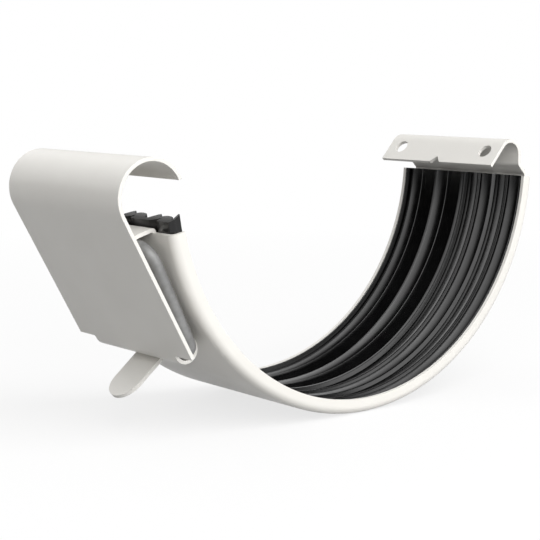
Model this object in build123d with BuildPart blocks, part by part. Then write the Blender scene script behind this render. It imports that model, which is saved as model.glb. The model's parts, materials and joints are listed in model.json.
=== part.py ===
from build123d import *
import math
import os

# Gutter union: a steel channel band with a ribbed rubber seal, closed by a hooked clip on a wire bail.
# Millimetres and degrees. X runs across the gutter (bead side -X, rear side +X), Y along it, Z up.
# The origin is on the axis of the half-round gutter, at the middle of the union's width.

# Gutter and sheet
gutter_radius = 62.5
sheet = 1.0
running_gap = 0.3

# Channel band
band_width = 50.0
channel_depth = 3.1
channel_bend = 1.2
rear_cut_angle = 4.4
front_cut_angle = 11.6

# Front lip over the bail's upper bar
lip_width = 34.0
lip_bend = 0.1
lip_rise = 1.35
lip_run = 5.4
lip_slope = 15.8
lip_nose = 1.6
lip_nose_slope = 26.0

# Rear hook for the gutter's back edge
hook_width = 45.2
hook_start = 0.4
hook_inset = 0.05
hook_upright_foot = -1.6
hook_bend = 3.65
hook_arch_top = 5.05
jog_bend = 0.6
flap_slope = 48.0
flap_reach = 11.5
screw_hole = 4.3
screw_pitch = 34.6
screw_inset = 5.0
notch_width = 3.9
notch_depth = 2.15

# Bead clip: a roll at the top, a flat plate and a curl round the bail's lower bar
clip_width = 51.0
roll_radius = 8.65
roll_offset = 8.6
roll_z = -3.9
roll_tip_angle = 26.0
plate_lean = 28.7
curl_gap = 0.92
curl_width = 36.6
curl_radius = 2.6
curl_reach = 0.7
curl_turn = 209.0
curl_shoulder = 0.6

# Wire bail
wire = 3.6
arm_inset = 2.4
bail_offset = 6.6
bail_drop = 3.26
bail_upper_bend = 5.0
bail_lower_bend = 3.0

# Locking tongue, lanced from the band below the clip
tongue_width = 11.0
tongue_length = 21.5
tongue_droop = 39.5
tongue_bend = 0.3
lance_gap = 0.4

# Seal. Its ribs and grooves are placed from the tip of the tall rib beside them.
seal_gap = 0.05
seal_side_gap = 0.1
seal_overhang_angle = 2.5
seal_end_slant = 27.0
seal_base = 0.75
edge_rib = 2.95
edge_rib_width = 0.65
edge_rib_foot = 0.8
centre_rib = 2.0
centre_rib_width = 1.0
centre_rib_foot = 1.7
rib_pair_pitch = 11.0
tall_rib_at = 6.4
tall_rib = 2.3
tip_drop = 0.1
tip_width = 0.35
ramp_top = 2.05
ramp_top_at = 1.3
ramp_foot_at = 4.2
saddle = 1.43
saddle_at = 0.2
crest = 2.0
crest_at = 2.7
low_rib = 1.8
low_rib_at = 5.1
low_rib_foot_at = 5.6
groove_start = 2.9
groove_middle = 0.5
groove_middle_at = 0.6
groove_depth = 1.25
groove_depth_at = 1.6
groove_end_at = 0.1

# Values that follow from the ones above
web_inner = gutter_radius + channel_depth
web_outer = web_inner + sheet
half_width = band_width / 2
curl_outer = curl_radius + sheet
wire_radius = wire / 2
arm_y = curl_width / 2 + arm_inset
hook_upright_x = gutter_radius - hook_inset
flap_end_x = hook_upright_x - flap_reach
seal_half_width = half_width - sheet - seal_side_gap
edge_rib_start = seal_half_width - edge_rib_foot
rib_pairs = 1 + int((edge_rib_start - tall_rib_at - low_rib_foot_at) // rib_pair_pitch)


def direction(angle):
    """Unit vector in the XZ plane, at an angle counted from +X towards +Z."""
    return Vector(math.cos(math.radians(angle)), math.sin(math.radians(angle)))


def in_space(point, y=0):
    """The model's point for a point of the XZ section."""
    return Vector(point.X, y, point.Y)


def folded_section(plane, points, bends, side):
    """Section of a folded sheet, from the line of one of its surfaces and that line's bend radii."""
    with BuildSketch(plane) as section:
        with BuildLine():
            FilletPolyline(*points, radius=bends)
            offset(amount=sheet, side=side)
        make_face()
    return section.sketch


section_plane = Plane(origin=(0, 0, 0), x_dir=(1, 0, 0), z_dir=(0, -1, 0))

# Clip layout: the plate's outer face is tangent to the roll, and the curl is tangent to the plate.
plate_down = direction(plate_lean - 90)
plate_out = direction(180 + plate_lean)
roll_centre = Vector(-gutter_radius - roll_offset, roll_z)
plate_top = roll_centre + plate_out * (roll_radius + sheet)

# The plate is as long as it takes to bring the curl down to its gap from the web.
curl_above = plate_top + plate_down * curl_reach - plate_out * curl_outer
curl_orbit = web_outer + curl_outer + curl_gap
curl_fall = -curl_above.dot(plate_down)
curl_aside = curl_above.dot(plate_out)
plate_length = curl_fall + math.sqrt(curl_orbit**2 - curl_aside**2)
plate_foot = plate_top + plate_down * plate_length
curl_centre = curl_above + plate_down * plate_length

# Tongue layout: its upper face runs just under the curl.
tongue_out = direction(180 + tongue_droop)
tongue_up = direction(90 + tongue_droop)
tongue_offset = curl_centre.dot(tongue_up) - curl_outer - running_gap
tongue_reach = math.sqrt(web_inner**2 - tongue_offset**2)
tongue_root = tongue_out * tongue_reach + tongue_up * tongue_offset
root_down = Vector(-tongue_root.Y, tongue_root.X).normalized()
tongue_fold = (tongue_bend + sheet) * 1.05

# Band: the curved channel
channel_points = [
    (gutter_radius, half_width),
    (web_outer, half_width),
    (web_outer, -half_width),
    (gutter_radius, -half_width),
]
channel_arc = 180 - front_cut_angle - rear_cut_angle
channel_plane = Plane.XY.rotated((0, rear_cut_angle, 0))
channel_face = folded_section(channel_plane, channel_points, channel_bend + sheet, Side.RIGHT)

# Band: the front lip, along its upper face
lip_start = direction(180 + front_cut_angle) * web_inner
lip_corner = lip_start + direction(90 + front_cut_angle) * lip_rise
lip_brow = lip_corner + direction(180 + lip_slope) * lip_run
lip_end = lip_brow + direction(180 + lip_nose_slope) * lip_nose
lip_face = folded_section(
    section_plane,
    [lip_start, lip_corner, lip_brow, lip_end],
    [lip_bend + sheet, sheet + running_gap],
    Side.LEFT,
)

# Band: the rear hook, along its inner face
hook_foot = direction(-rear_cut_angle) * web_inner
hook_jog = hook_foot + direction(90 - rear_cut_angle) * hook_start
hook_upright = Vector(hook_upright_x, hook_upright_foot)
arch_centre = Vector(hook_upright_x - hook_bend, hook_arch_top - hook_bend)
flap_down = direction(180 + flap_slope)
flap_up = direction(90 + flap_slope)
flap_start = arch_centre + flap_up * hook_bend
hook_corner = flap_start - flap_down * ((hook_upright_x - flap_start.X) / -flap_down.X)
flap_end = flap_start + flap_down * ((flap_end_x - flap_start.X) / flap_down.X)
hook_face = folded_section(
    section_plane,
    [hook_foot, hook_jog, hook_upright, hook_corner, flap_end],
    [jog_bend, jog_bend + sheet, hook_bend],
    Side.RIGHT,
)

# Band: the fold at the tongue's root, along the tongue's upper face
fold_face = folded_section(
    section_plane,
    [tongue_root + root_down * tongue_fold, tongue_root, tongue_root + tongue_out * tongue_fold],
    tongue_bend + sheet,
    Side.LEFT,
)

with BuildPart() as gutter_band:
    revolve(channel_face, axis=Axis.Y, revolution_arc=channel_arc)

    # Window that the tongue was lanced from
    window_plane = Plane(
        origin=in_space(tongue_root),
        x_dir=in_space(root_down) * -1,
        z_dir=in_space(tongue_out),
    )
    window_width = tongue_width + 2 * lance_gap
    window_straight = tongue_length - tongue_width / 2
    with BuildSketch(window_plane) as window:
        with Locations(((window_straight - tongue_fold) / 2, 0)):
            Rectangle(window_straight + tongue_fold, window_width)
        with Locations((window_straight, 0)):
            Circle(window_width / 2)
    extrude(amount=channel_depth * 2, both=True, mode=Mode.SUBTRACT)

    # Tongue: the fold and the flat with its round end
    extrude(fold_face, amount=tongue_width / 2, both=True)
    tongue_plane = Plane(
        origin=in_space(tongue_root),
        x_dir=in_space(tongue_out),
        z_dir=in_space(tongue_up),
    )
    tongue_straight = tongue_length - tongue_width / 2
    with BuildSketch(tongue_plane) as tongue:
        with Locations(((tongue_straight + tongue_fold) / 2, 0)):
            Rectangle(tongue_straight - tongue_fold, tongue_width)
        with Locations((tongue_straight, 0)):
            Circle(tongue_width / 2)
    extrude(amount=-sheet)

    # Lip and hook
    extrude(lip_face, amount=lip_width / 2, both=True)
    extrude(hook_face, amount=hook_width / 2, both=True)

    # Screw holes and the notch in the hook's flap
    flap_plane = Plane(
        origin=in_space(flap_end),
        x_dir=in_space(flap_down) * -1,
        z_dir=in_space(flap_up),
    )
    with BuildSketch(flap_plane) as piercings:
        with Locations((screw_inset, -screw_pitch / 2), (screw_inset, screw_pitch / 2)):
            Circle(screw_hole / 2)
        with BuildLine():
            Polyline(
                (-sheet, -notch_width / 2),
                (0, -notch_width / 2),
                (notch_depth, 0),
                (0, notch_width / 2),
                (-sheet, notch_width / 2),
                close=True,
            )
        make_face()
    extrude(amount=2 * sheet, both=True, mode=Mode.SUBTRACT)

gutter_band.part.label = "gutter_band"


seal_foot = web_inner - seal_gap


def on_seal(across, height):
    """Point of the seal's section: distance from its middle, and height off its foot."""
    return (seal_foot - height, across)


with BuildPart() as rubber_seal:
    with BuildSketch(channel_plane) as seal_section:
        with BuildLine():
            face = Polyline(
                on_seal(0, centre_rib),
                on_seal(centre_rib_width / 2, centre_rib),
                on_seal(centre_rib_foot / 2, seal_base),
            )
            back = Line(on_seal(0, 0), on_seal(tall_rib_at - groove_start, 0))
            for pair in range(rib_pairs):
                tip = tall_rib_at + pair * rib_pair_pitch
                tooth = Polyline(
                    face @ 1,
                    on_seal(tip - ramp_foot_at, seal_base),
                    on_seal(tip - ramp_top_at, ramp_top),
                    on_seal(tip - tip_width, tall_rib),
                    on_seal(tip, tall_rib - tip_drop),
                    on_seal(tip + saddle_at, saddle),
                )
                arch = ThreePointArc(tooth @ 1, on_seal(tip + crest_at, crest), on_seal(tip + low_rib_at, low_rib))
                face = Line(arch @ 1, on_seal(tip + low_rib_foot_at, seal_base))
                if pair > 0:
                    back = Line(back @ 1, on_seal(tip - groove_start, 0))
                groove = ThreePointArc(
                    back @ 1,
                    on_seal(tip - groove_middle_at, groove_middle),
                    on_seal(tip + groove_depth_at, groove_depth),
                )
                back = Line(groove @ 1, on_seal(tip + groove_end_at, 0))
            Polyline(
                face @ 1,
                on_seal(edge_rib_start, seal_base),
                on_seal(seal_half_width - edge_rib_width, edge_rib),
                on_seal(seal_half_width, edge_rib),
                on_seal(seal_half_width, channel_bend - seal_gap),
                on_seal(half_width - sheet - channel_bend, 0),
                back @ 1,
            )
            mirror(about=Plane.XZ)
        make_face()
    revolve(axis=Axis.Y, revolution_arc=channel_arc + 2 * seal_overhang_angle)
    seal_tail = direction(180 + front_cut_angle - seal_overhang_angle)
    seal_cut = Plane(
        origin=in_space(seal_tail * web_inner),
        x_dir=(0, 1, 0),
        z_dir=in_space(direction(90 + front_cut_angle - seal_overhang_angle + seal_end_slant)),
    )
    split(bisect_by=seal_cut, keep=Keep.BOTTOM)

rubber_seal.part.label = "rubber_seal"

with BuildPart() as bead_clip:
    with BuildSketch(section_plane) as plate_section:
        with BuildLine():
            roll = CenterArc(roll_centre, roll_radius, roll_tip_angle, 180 + plate_lean - roll_tip_angle)
            Line(roll @ 1, plate_foot - plate_out * sheet)
            offset(amount=sheet, side=Side.RIGHT)
        make_face()
    extrude(amount=clip_width / 2, both=True)

    # The curl is narrower than the plate, with a small round at each shoulder
    with BuildSketch(section_plane) as curl_section:
        with BuildLine():
            curl = CenterArc(curl_centre, curl_radius, 180 + plate_lean, curl_turn)
            Line(plate_foot - plate_out * sheet, curl @ 0)
            offset(amount=sheet, side=Side.RIGHT)
        make_face()
    extrude(amount=curl_width / 2, both=True)
    across_plate = bead_clip.edges().filter_by(Axis(in_space(plate_foot), in_space(plate_out)))
    shoulders = across_plate.filter_by_position(Axis.Y, -curl_width / 2 - sheet, curl_width / 2 + sheet)
    fillet(shoulders, curl_shoulder)

bead_clip.part.label = "bead_clip"

# Bail: a closed wire loop, from the lip's seat to the curl
bail_upper = Vector(-gutter_radius - bail_offset, lip_start.Y - bail_drop)
bail_rise = bail_upper - curl_centre
bail_plane = Plane(
    origin=in_space(curl_centre),
    x_dir=(0, 1, 0),
    z_dir=in_space(Vector(bail_rise.Y, -bail_rise.X).normalized()),
)

with BuildPart() as wire_bail:
    with BuildLine(bail_plane) as bail_line:
        FilletPolyline(
            (arm_y, 0),
            (arm_y, bail_rise.length),
            (-arm_y, bail_rise.length),
            (-arm_y, 0),
            radius=[bail_lower_bend, bail_upper_bend, bail_upper_bend, bail_lower_bend],
            close=True,
        )
    with BuildSketch(bail_line.line ^ 0) as wire_section:
        Circle(wire_radius)
    sweep(path=bail_line.line)

wire_bail.part.label = "wire_bail"

os.makedirs("parts", exist_ok=True)
export_step(gutter_band.part, "parts/gutter_band.step")
export_step(rubber_seal.part, "parts/rubber_seal.step")
export_step(bead_clip.part, "parts/bead_clip.step")
export_step(wire_bail.part, "parts/wire_bail.step")
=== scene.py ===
import json
import math

import bmesh
import bpy
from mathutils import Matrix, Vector

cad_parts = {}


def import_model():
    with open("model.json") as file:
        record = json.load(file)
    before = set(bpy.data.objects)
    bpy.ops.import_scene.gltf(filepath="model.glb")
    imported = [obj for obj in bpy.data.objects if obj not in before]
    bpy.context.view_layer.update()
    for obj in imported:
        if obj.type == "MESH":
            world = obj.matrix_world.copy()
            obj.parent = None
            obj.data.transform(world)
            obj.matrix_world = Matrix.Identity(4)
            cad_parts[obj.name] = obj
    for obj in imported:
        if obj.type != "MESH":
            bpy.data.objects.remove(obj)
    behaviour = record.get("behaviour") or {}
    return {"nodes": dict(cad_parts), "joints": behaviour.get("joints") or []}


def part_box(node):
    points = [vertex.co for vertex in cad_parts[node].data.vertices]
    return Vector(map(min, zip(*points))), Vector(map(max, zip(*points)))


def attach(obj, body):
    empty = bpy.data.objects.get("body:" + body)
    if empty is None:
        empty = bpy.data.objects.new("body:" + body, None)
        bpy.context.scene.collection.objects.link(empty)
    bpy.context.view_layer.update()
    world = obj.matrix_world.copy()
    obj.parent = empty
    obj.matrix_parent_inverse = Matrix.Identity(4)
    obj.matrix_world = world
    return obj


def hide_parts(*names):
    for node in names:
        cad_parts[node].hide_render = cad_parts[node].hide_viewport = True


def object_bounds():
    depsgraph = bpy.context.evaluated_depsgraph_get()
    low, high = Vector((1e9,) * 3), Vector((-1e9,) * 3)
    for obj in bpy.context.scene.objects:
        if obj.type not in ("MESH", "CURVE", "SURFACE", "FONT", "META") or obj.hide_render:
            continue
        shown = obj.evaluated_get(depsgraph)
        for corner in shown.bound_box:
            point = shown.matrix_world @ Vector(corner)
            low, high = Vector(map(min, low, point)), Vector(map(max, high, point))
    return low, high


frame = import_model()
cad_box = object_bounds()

# Gutter union, in metres, in the frame's own axes: X across the gutter, Y along it, Z up.
mm = 0.001

# Photograph's viewpoint
camera_place = (-0.25888, -0.29663, 0.02475)
camera_turn = (math.radians(82.08), 0.0, math.radians(-39.51))
camera_lens = 93.46
camera_sensor = 36.0
camera_near = 0.01
camera_far = 50.0

# Points closer than this are one point
merge_reach = 0.002 * mm

# Sheet steel
edge_round = 0.13 * mm
edge_steps = 2
edge_angle = math.radians(32)
flat_angle = math.radians(0.4)

# Band: gutter axis to the inside of its web, and where its channel starts and ends
web_inner = 65.6 * mm
rear_cut_angle = 4.4
front_cut_angle = 11.6

# Seal: each pair of ribs and its groove are placed from the tall rib's tip
seal_gap = 0.05 * mm
seal_overhang_angle = 2.5
seal_end_slant = 27.0
seal_base = 0.75 * mm
edge_rib = 2.95 * mm
edge_rib_width = 0.65 * mm
edge_rib_foot = 0.8 * mm
foot_corner = 1.1 * mm
foot_corner_rise = 1.15 * mm
centre_rib = 2.0 * mm
centre_rib_width = 1.0 * mm
centre_rib_foot = 1.7 * mm
rib_pairs = 2
rib_pair_pitch = 11.0 * mm
tall_rib_at = 6.4 * mm
tall_rib = 2.3 * mm
tip_drop = 0.1 * mm
tip_width = 0.35 * mm
ramp_top = 2.05 * mm
ramp_top_at = 1.3 * mm
ramp_foot_at = 4.2 * mm
saddle = 1.43 * mm
saddle_at = 0.2 * mm
crest = 2.0 * mm
crest_at = 2.7 * mm
low_rib = 1.8 * mm
low_rib_at = 5.1 * mm
low_rib_foot_at = 5.6 * mm
groove_start = 2.9 * mm
groove_middle = 0.5 * mm
groove_middle_at = 0.6 * mm
groove_depth = 1.25 * mm
groove_depth_at = 1.6 * mm
groove_end_at = 0.1 * mm
rib_round = 0.14 * mm
rib_round_steps = 2
arch_steps = 10
seal_steps = 150
last_ring = 0.9999
seal_soft_angle = math.radians(40)

# Wire bail, from the clip's curl up to the band's lip
wire_radius = 1.8 * mm
upper_bend = 5.0 * mm
lower_bend = 3.0 * mm
bend_steps = 14
wire_sides = 28
wire_soft_angle = math.radians(60)

# Finishes. Each noise has a scale and a detail: mottle for colour, sheen for roughness,
# grain for relief. Noise is mostly within its middle range.
noise_middle = (0.3, 0.7)
satin_paint = {
    "mottle": (45, 3),
    "shades": ((0.775, 0.757, 0.715), (0.805, 0.788, 0.747)),
    "sheen": (160, 2),
    "roughness": (0.36, 0.44),
    "grain": (900, 2),
    "grain_depth": 0.02 * mm,
    "grain_strength": 0.35,
    "specular": 0.45,
    "metallic": 0.0,
}
smooth_rubber = {
    "mottle": (120, 4),
    "shades": ((0.0016, 0.0016, 0.0017), (0.003, 0.003, 0.0032)),
    "sheen": (400, 3),
    "roughness": (0.2, 0.26),
    "grain": (2600, 3),
    "grain_depth": 0.02 * mm,
    "grain_strength": 0.2,
    "specular": 0.5,
    "metallic": 0.0,
}
dull_zinc = {
    "mottle": (420, 4),
    "shades": ((0.205, 0.205, 0.203), (0.28, 0.28, 0.278)),
    "sheen": (700, 3),
    "roughness": (0.46, 0.6),
    "grain": (1500, 3),
    "grain_depth": 0.015 * mm,
    "grain_strength": 0.4,
    "specular": 0.5,
    "metallic": 0.5,
}

# Light: each lamp has a direction from the object, a distance, a size and a strength
key_lamp = ((-0.01, -0.84, 0.52), 1.2, 2.0, 1.95)
back_lamp = ((-0.2, 0.85, 0.5), 1.2, 1.44, 0.23)
world_level = 0.385

# Gloss shows the white backdrop where a ray's Y and Z rise past these values
backdrop_back = (0.5, 0.62)
backdrop_rise = (0.06, 0.2)

# Floor: what it gives back as light, what is seen of it, and the share of plain white in that,
# near the object and beyond the shadow's reach
floor_reach = 6.0
floor_gap = 0.02 * mm
floor_grey = 0.3
floor_pale = 0.9
shadow_reach = (0.1, 0.45)
shadow_white = (0.75, 1.0)


def feed(tree, node, terms):
    """Fills a node's inputs in their order, each from a socket or with a constant."""
    for entry, term in zip(node.inputs, terms):
        if isinstance(term, bpy.types.NodeSocket):
            tree.links.new(term, entry)
        else:
            entry.default_value = term


def number(tree, operation, *terms):
    """The result of a maths node on numbers."""
    node = tree.nodes.new("ShaderNodeMath")
    node.operation = operation
    feed(tree, node, terms)
    return node.outputs["Value"]


def vector(tree, operation, *terms):
    """The result of a maths node on vectors. A length comes out as a number."""
    node = tree.nodes.new("ShaderNodeVectorMath")
    node.operation = operation
    feed(tree, node, terms)
    return node.outputs["Value" if operation == "LENGTH" else "Vector"]


def above(tree, value, limit):
    """True where a number is greater than a limit."""
    test = tree.nodes.new("FunctionNodeCompare")
    test.data_type = "FLOAT"
    test.operation = "GREATER_THAN"
    test.inputs["B"].default_value = limit
    tree.links.new(value, test.inputs["A"])
    return test.outputs["Result"]


def rescaled(tree, value, given, wanted=(0.0, 1.0)):
    """A number moved from one range to another, and kept inside it."""
    move = tree.nodes.new("ShaderNodeMapRange")
    feed(tree, move, (value, *given, *wanted))
    return move.outputs["Result"]


def mixed(tree, share, first, second):
    """Two shaders blended. At share 1 only the second is left."""
    blend = tree.nodes.new("ShaderNodeMixShader")
    feed(tree, blend, (share, first, second))
    return blend.outputs["Shader"]


def ray_is(tree, *kinds):
    """1 for rays of the named kinds, 0 for the rest."""
    path = tree.nodes.new("ShaderNodeLightPath")
    total = path.outputs[kinds[0]]
    for kind in kinds[1:]:
        total = number(tree, "MAXIMUM", total, path.outputs[kind])
    return total


def noise(tree, scale, detail):
    """Noise on the object's own coordinates, as a number from 0 to 1."""
    position = tree.nodes.new("ShaderNodeTexCoord")
    texture = tree.nodes.new("ShaderNodeTexNoise")
    texture.inputs["Scale"].default_value = scale
    texture.inputs["Detail"].default_value = detail
    tree.links.new(position.outputs["Object"], texture.inputs["Vector"])
    return texture.outputs["Fac"]


def shade(tree, factor, low, high):
    """Blend from one colour to another over the middle of a noise."""
    blend = tree.nodes.new("ShaderNodeValToRGB")
    for stop, along, colour in zip(blend.color_ramp.elements, noise_middle, (low, high)):
        stop.position = along
        stop.color = (*colour, 1)
    tree.links.new(factor, blend.inputs["Fac"])
    return blend.outputs["Color"]


def finish(name, look):
    """A material whose colour, roughness and relief each follow a noise."""
    material = bpy.data.materials.new(name)
    material.use_nodes = True
    tree = material.node_tree
    link = tree.links.new
    shader = tree.nodes["Principled BSDF"]
    link(shade(tree, noise(tree, *look["mottle"]), *look["shades"]), shader.inputs["Base Color"])
    roughness = rescaled(tree, noise(tree, *look["sheen"]), noise_middle, look["roughness"])
    link(roughness, shader.inputs["Roughness"])
    shader.inputs["Specular IOR Level"].default_value = look["specular"]
    shader.inputs["Metallic"].default_value = look["metallic"]
    relief = tree.nodes.new("ShaderNodeBump")
    relief.inputs["Distance"].default_value = look["grain_depth"]
    relief.inputs["Strength"].default_value = look["grain_strength"]
    link(noise(tree, *look["grain"]), relief.inputs["Height"])
    link(relief.outputs["Normal"], shader.inputs["Normal"])
    return material


def new_tree(name, sizes):
    """A geometry tree with a named number input for each size, and a material input."""
    tree = bpy.data.node_groups.new(name, "GeometryNodeTree")
    tree.interface.new_socket("Geometry", in_out="INPUT", socket_type="NodeSocketGeometry")
    for size in sizes:
        tree.interface.new_socket(size, in_out="INPUT", socket_type="NodeSocketFloat")
    tree.interface.new_socket("Material", in_out="INPUT", socket_type="NodeSocketMaterial")
    tree.interface.new_socket("Geometry", in_out="OUTPUT", socket_type="NodeSocketGeometry")
    source = tree.nodes.new("NodeGroupInput")
    sink = tree.nodes.new("NodeGroupOutput")
    return tree, source, sink


def finish_tree(tree, source, sink, geometry):
    """Smooth faces, real geometry and the material, which every tree here ends in."""
    smooth = tree.nodes.new("GeometryNodeSetShadeSmooth")
    real = tree.nodes.new("GeometryNodeRealizeInstances")
    painted = tree.nodes.new("GeometryNodeSetMaterial")
    tree.links.new(geometry, smooth.inputs["Geometry"])
    tree.links.new(smooth.outputs["Geometry"], real.inputs["Geometry"])
    tree.links.new(real.outputs["Geometry"], painted.inputs["Geometry"])
    tree.links.new(source.outputs["Material"], painted.inputs["Material"])
    tree.links.new(painted.outputs["Geometry"], sink.inputs["Geometry"])


def rounded(tree, curve, radius, steps):
    """A curve with its corners rounded in a number of steps."""
    corners = tree.nodes.new("GeometryNodeFilletCurve")
    corners.mode = "POLY"
    corners.inputs["Count"].default_value = steps
    corners.inputs["Limit Radius"].default_value = True
    tree.links.new(curve, corners.inputs["Curve"])
    tree.links.new(radius, corners.inputs["Radius"])
    return corners.outputs["Curve"]


def swept(tree, path, section, caps):
    """A section drawn along a path, with its ends closed or left open."""
    skin = tree.nodes.new("GeometryNodeCurveToMesh")
    skin.inputs["Fill Caps"].default_value = caps
    tree.links.new(path, skin.inputs["Curve"])
    tree.links.new(section, skin.inputs["Profile Curve"])
    return skin.outputs["Mesh"]


def in_scene(name, data):
    """A new object in the scene."""
    made = bpy.data.objects.new(name, data)
    bpy.context.scene.collection.objects.link(made)
    return made


def grown(name, base, tree, values):
    """The plain mesh object that a geometry tree makes from a base object's data."""
    maker = in_scene(name + "_maker", base)
    modifier = maker.modifiers.new("shape", "NODES")
    modifier.node_group = tree
    for item in tree.interface.items_tree:
        if item.in_out == "INPUT" and item.name in values:
            modifier[item.identifier] = values[item.name]
    bpy.context.view_layer.update()
    seen = maker.evaluated_get(bpy.context.evaluated_depsgraph_get())
    mesh = bpy.data.meshes.new_from_object(seen)
    bpy.data.objects.remove(maker)
    mesh.name = name
    return in_scene(name, mesh)


def outward(piece, soft_angle):
    """Merged points, faces that point outwards, and edges kept sharp above an angle."""
    shell = bmesh.new()
    shell.from_mesh(piece.data)
    bmesh.ops.remove_doubles(shell, verts=shell.verts, dist=merge_reach)
    bmesh.ops.recalc_face_normals(shell, faces=shell.faces)
    shell.to_mesh(piece.data)
    shell.free()
    piece.data.shade_smooth()
    piece.data.set_sharp_from_angle(angle=soft_angle)


def arc_through(start, middle, end):
    """Points of the arc through three points, without the first."""
    (ax, ay), (bx, by), (cx, cy) = start, middle, end
    cross = 2 * (ax * (by - cy) + bx * (cy - ay) + cx * (ay - by))
    a2, b2, c2 = ax**2 + ay**2, bx**2 + by**2, cx**2 + cy**2
    x = (a2 * (by - cy) + b2 * (cy - ay) + c2 * (ay - by)) / cross
    y = (a2 * (cx - bx) + b2 * (ax - cx) + c2 * (bx - ax)) / cross
    radius = math.hypot(ax - x, ay - y)
    first = math.atan2(ay - y, ax - x)
    turn = math.atan2(cy - y, cx - x) - first
    turn = (turn + math.pi) % (2 * math.pi) - math.pi
    angles = [first + turn * (step + 1) / arch_steps for step in range(arch_steps)]
    return [(x + radius * math.cos(angle), y + radius * math.sin(angle)) for angle in angles]


def seal_profile(half_width):
    """Closed outline of the seal's section: distance along the gutter, and height off the web."""
    face = [(0, centre_rib), (centre_rib_width / 2, centre_rib), (centre_rib_foot / 2, seal_base)]
    back = []
    for pair in range(rib_pairs):
        tip = tall_rib_at + pair * rib_pair_pitch
        face += [
            (tip - ramp_foot_at, seal_base),
            (tip - ramp_top_at, ramp_top),
            (tip - tip_width, tall_rib),
            (tip, tall_rib - tip_drop),
            (tip + saddle_at, saddle),
        ]
        face += arc_through(face[-1], (tip + crest_at, crest), (tip + low_rib_at, low_rib))
        face.append((tip + low_rib_foot_at, seal_base))
        back.append((tip - groove_start, 0))
        deepest = (tip + groove_depth_at, groove_depth)
        back += arc_through(back[-1], (tip - groove_middle_at, groove_middle), deepest)
        back.append((tip + groove_end_at, 0))
    edge = [
        (half_width - edge_rib_foot, seal_base),
        (half_width - edge_rib_width, edge_rib),
        (half_width, edge_rib),
        (half_width, foot_corner_rise),
        (half_width - foot_corner, 0),
    ]
    half = face + edge + back[::-1]
    return half + [(-along, height) for along, height in reversed(half[1:])]


def seal_tree():
    """Sweeps the section round the gutter's axis and slants its front end."""
    sizes = ["Foot Radius", "Start Angle", "Sweep Angle", "End Slant", "Rib Round", "Steps"]
    tree, source, sink = new_tree("ribbed_seal", sizes)
    link = tree.links.new
    given = source.outputs

    path = tree.nodes.new("GeometryNodeCurveArc")
    link(given["Steps"], path.inputs["Resolution"])
    link(given["Foot Radius"], path.inputs["Radius"])
    link(given["Start Angle"], path.inputs["Start Angle"])
    link(given["Sweep Angle"], path.inputs["Sweep Angle"])

    # Every point keeps how far along the arc it is, from 0 to 1
    along = tree.nodes.new("GeometryNodeSplineParameter")
    kept_along = tree.nodes.new("GeometryNodeCaptureAttribute")
    kept_along.domain = "POINT"
    kept_along.capture_items.new("FLOAT", "Factor")
    link(path.outputs["Curve"], kept_along.inputs["Geometry"])
    link(along.outputs["Factor"], kept_along.inputs["Factor"])

    section = rounded(tree, given["Geometry"], given["Rib Round"], rib_round_steps)
    body = swept(tree, kept_along.outputs["Geometry"], section, True)

    # Points of the last ring move along the arc by their height times the slant
    position = tree.nodes.new("GeometryNodeInputPosition")
    flat = vector(tree, "MULTIPLY", position.outputs["Position"], (1, 1, 0))
    height = number(tree, "SUBTRACT", given["Foot Radius"], vector(tree, "LENGTH", flat))
    lead = number(tree, "MULTIPLY", height, number(tree, "TANGENT", given["End Slant"]))
    tangent = vector(tree, "NORMALIZE", vector(tree, "CROSS_PRODUCT", (0, 0, 1), flat))
    slanted = tree.nodes.new("GeometryNodeSetPosition")
    link(body, slanted.inputs["Geometry"])
    link(above(tree, kept_along.outputs["Factor"], last_ring), slanted.inputs["Selection"])
    link(vector(tree, "MULTIPLY", tangent, lead), slanted.inputs["Offset"])

    # The arc was drawn flat; it stands up across the gutter
    stood = tree.nodes.new("GeometryNodeTransform")
    stood.inputs["Rotation"].default_value = (math.radians(-90), 0, 0)
    link(slanted.outputs["Geometry"], stood.inputs["Geometry"])
    finish_tree(tree, source, sink, stood.outputs["Geometry"])
    return tree


def rubber_seal(material):
    """The seal, swept in one piece."""
    outline = bpy.data.curves.new("seal_section", "CURVE")
    outline.dimensions = "3D"
    spline = outline.splines.new("POLY")
    points = seal_profile(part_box("rubber_seal")[1].y)
    spline.points.add(len(points) - 1)
    for point, (along, height) in zip(spline.points, points):
        point.co = (-height, along, 0, 1)
    spline.use_cyclic_u = True
    sweep = 180 - front_cut_angle + seal_overhang_angle - rear_cut_angle
    values = {
        "Foot Radius": web_inner - seal_gap,
        "Start Angle": math.radians(rear_cut_angle),
        "Sweep Angle": math.radians(sweep),
        "End Slant": math.radians(seal_end_slant),
        "Rib Round": rib_round,
        "Steps": seal_steps,
        "Material": material,
    }
    piece = grown("ribbed_seal", outline, seal_tree(), values)
    outward(piece, seal_soft_angle)
    return piece


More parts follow.
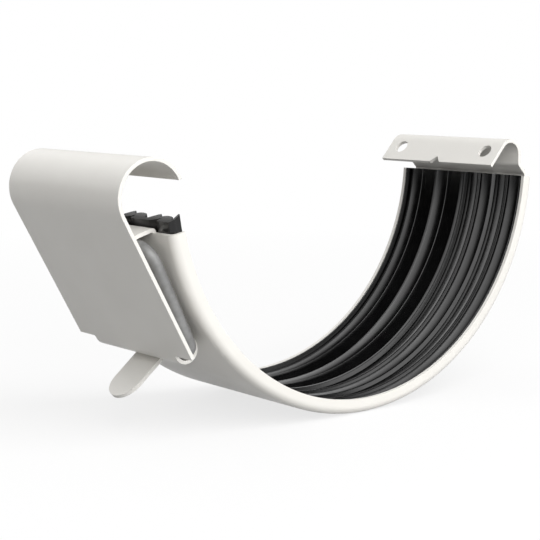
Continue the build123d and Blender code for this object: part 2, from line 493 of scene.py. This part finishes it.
def bail_tree():
    """A rectangle of wire with rounded corners."""
    sizes = ["Width", "Length", "Upper Bend", "Lower Bend", "Wire Radius"]
    tree, source, sink = new_tree("wire_bail", sizes)
    link = tree.links.new
    given = source.outputs

    loop = tree.nodes.new("GeometryNodeCurvePrimitiveQuadrilateral")
    link(given["Width"], loop.inputs["Width"])
    link(given["Length"], loop.inputs["Height"])

    position = tree.nodes.new("GeometryNodeInputPosition")
    split = tree.nodes.new("ShaderNodeSeparateXYZ")
    link(position.outputs["Position"], split.inputs["Vector"])
    bend = tree.nodes.new("GeometryNodeSwitch")
    bend.input_type = "FLOAT"
    link(above(tree, split.outputs["Y"], 0), bend.inputs["Switch"])
    link(given["Lower Bend"], bend.inputs["False"])
    link(given["Upper Bend"], bend.inputs["True"])

    section = tree.nodes.new("GeometryNodeCurvePrimitiveCircle")
    section.inputs["Resolution"].default_value = wire_sides
    link(given["Wire Radius"], section.inputs["Radius"])
    path = rounded(tree, loop.outputs["Curve"], bend.outputs["Output"], bend_steps)
    finish_tree(tree, source, sink, swept(tree, path, section.outputs["Curve"], False))
    return tree


def wire_bail(material):
    """The closed loop of wire, laid from the clip's curl up to the band's lip."""
    pivots = {joint["name"]: Vector(joint["pos_m"]) for joint in frame["joints"]}
    upper = pivots["bail_swing"]
    lower = pivots["clip_swing"]
    rise = upper - lower
    values = {
        "Width": 2 * (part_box("wire_bail")[1].y - wire_radius),
        "Length": rise.length,
        "Upper Bend": upper_bend,
        "Lower Bend": lower_bend,
        "Wire Radius": wire_radius,
        "Material": material,
    }
    base = bpy.data.meshes.new("wire_bail_base")
    piece = grown("bent_wire_bail", base, bail_tree(), values)
    across = Vector((0, 1, 0))
    up = rise.normalized()
    out = across.cross(up)
    middle = (upper + lower) / 2
    for vertex in piece.data.vertices:
        x, y, z = vertex.co
        vertex.co = middle + across * x + up * y + out * z
    outward(piece, wire_soft_angle)
    return piece


def sheet_piece(node, name, material):
    """A formed sheet: the frame's own shape, with its cut edges broken."""
    mesh = frame["nodes"][node].data.copy()
    mesh.name = name
    shell = bmesh.new()
    shell.from_mesh(mesh)
    bmesh.ops.remove_doubles(shell, verts=shell.verts, dist=merge_reach)
    bmesh.ops.dissolve_limit(
        shell,
        angle_limit=flat_angle,
        verts=shell.verts,
        edges=shell.edges,
    )
    shell.to_mesh(mesh)
    shell.free()
    mesh.shade_smooth()
    mesh.set_sharp_from_angle(angle=edge_angle)
    mesh.materials.clear()
    mesh.materials.append(material)
    piece = in_scene(name, mesh)
    bevel = piece.modifiers.new("broken_edges", "BEVEL")
    bevel.width = edge_round
    bevel.segments = edge_steps
    bevel.limit_method = "ANGLE"
    bevel.angle_limit = edge_angle
    bevel.harden_normals = True
    bevel.use_clamp_overlap = True
    return piece


def place(piece, node, body):
    """Puts a finished piece on its body, in its node's place."""
    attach(piece, body)
    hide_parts(node)


def camera():
    """The photograph's viewpoint."""
    data = bpy.data.cameras.new("camera")
    data.lens = camera_lens
    data.sensor_width = camera_sensor
    data.clip_start = camera_near
    data.clip_end = camera_far
    eye = in_scene("camera", data)
    eye.location = camera_place
    eye.rotation_euler = camera_turn
    bpy.context.scene.camera = eye


def lamp(name, towards, distance, size, strength):
    """A round area light that looks at the object. Strength 1 lights a face square to it as white."""
    data = bpy.data.lights.new(name, "AREA")
    data.shape = "DISK"
    data.size = size
    data.energy = strength * math.pi**2 * distance**2
    light = in_scene(name, data)
    aim = Vector(towards).normalized()
    light.location = aim * distance
    light.rotation_euler = aim.to_track_quat("Z", "Y").to_euler()


def background(tree, level):
    """Plain white light of a strength, as a shader."""
    plain = tree.nodes.new("ShaderNodeBackground")
    plain.inputs["Color"].default_value = (1, 1, 1, 1)
    plain.inputs["Strength"].default_value = level
    return plain.outputs["Background"]


def world():
    """White where it is seen, and a grey fill light. Gloss shows the white only behind the object."""
    sky = bpy.data.worlds.new("studio")
    sky.use_nodes = True
    tree = sky.node_tree
    tree.nodes.remove(tree.nodes["Background"])
    fill = background(tree, world_level)
    white = background(tree, 1.0)
    dark = background(tree, 0.0)

    direction = tree.nodes.new("ShaderNodeTexCoord")
    aim = tree.nodes.new("ShaderNodeSeparateXYZ")
    tree.links.new(direction.outputs["Generated"], aim.inputs["Vector"])
    back = rescaled(tree, aim.outputs["Y"], backdrop_back)
    rise = rescaled(tree, aim.outputs["Z"], backdrop_rise)
    mirrored = mixed(tree, number(tree, "MULTIPLY", back, rise), dark, white)

    glossy = mixed(tree, ray_is(tree, "Is Glossy Ray"), fill, mirrored)
    straight = ray_is(tree, "Is Camera Ray", "Is Transmission Ray")
    seen = mixed(tree, straight, glossy, white)
    tree.links.new(seen, tree.nodes["World Output"].inputs["Surface"])
    bpy.context.scene.world = sky


def plain_white_share(tree):
    """Share of plain white in the floor: part of it round the object, all of it far away."""
    position = tree.nodes.new("ShaderNodeTexCoord")
    reach = vector(tree, "LENGTH", position.outputs["Object"])
    return rescaled(tree, reach, shadow_reach, shadow_white)


def matt(tree, level):
    """A matt grey, as a shader."""
    surface = tree.nodes.new("ShaderNodeBsdfDiffuse")
    surface.inputs["Color"].default_value = (level, level, level, 1)
    return surface.outputs["BSDF"]


def floor(level):
    """A pale floor that keeps a soft shadow."""
    mesh = bpy.data.meshes.new("floor")
    corners = [(-1, -1), (1, -1), (1, 1), (-1, 1)]
    points = [(x * floor_reach, y * floor_reach, level) for x, y in corners]
    mesh.from_pydata(points, [], [(0, 1, 2, 3)])
    ground = in_scene("floor", mesh)
    material = bpy.data.materials.new("pale_floor")
    material.use_nodes = True
    tree = material.node_tree
    tree.nodes.remove(tree.nodes["Principled BSDF"])
    glow = tree.nodes.new("ShaderNodeEmission")
    glow.inputs["Strength"].default_value = 1.0
    white = glow.outputs["Emission"]
    shaded = mixed(tree, plain_white_share(tree), matt(tree, floor_pale), white)
    seen = ray_is(tree, "Is Camera Ray", "Is Glossy Ray", "Is Transmission Ray")
    surface = mixed(tree, seen, matt(tree, floor_grey), shaded)
    tree.links.new(surface, tree.nodes["Material Output"].inputs["Surface"])
    mesh.materials.append(material)


paint = finish("off_white_paint", satin_paint)
rubber = finish("black_rubber", smooth_rubber)
zinc = finish("galvanised_zinc", dull_zinc)

place(sheet_piece("gutter_band", "channel_band", paint), "gutter_band", "band")
place(sheet_piece("bead_clip", "hooked_clip", paint), "bead_clip", "clip")
place(rubber_seal(rubber), "rubber_seal", "band")
place(wire_bail(zinc), "wire_bail", "bail")

camera()
world()
floor(cad_box[0][2] - floor_gap)
lamp("key", *key_lamp)
lamp("back_softbox", *back_lamp)

bpy.context.scene.view_settings.view_transform = "Standard"
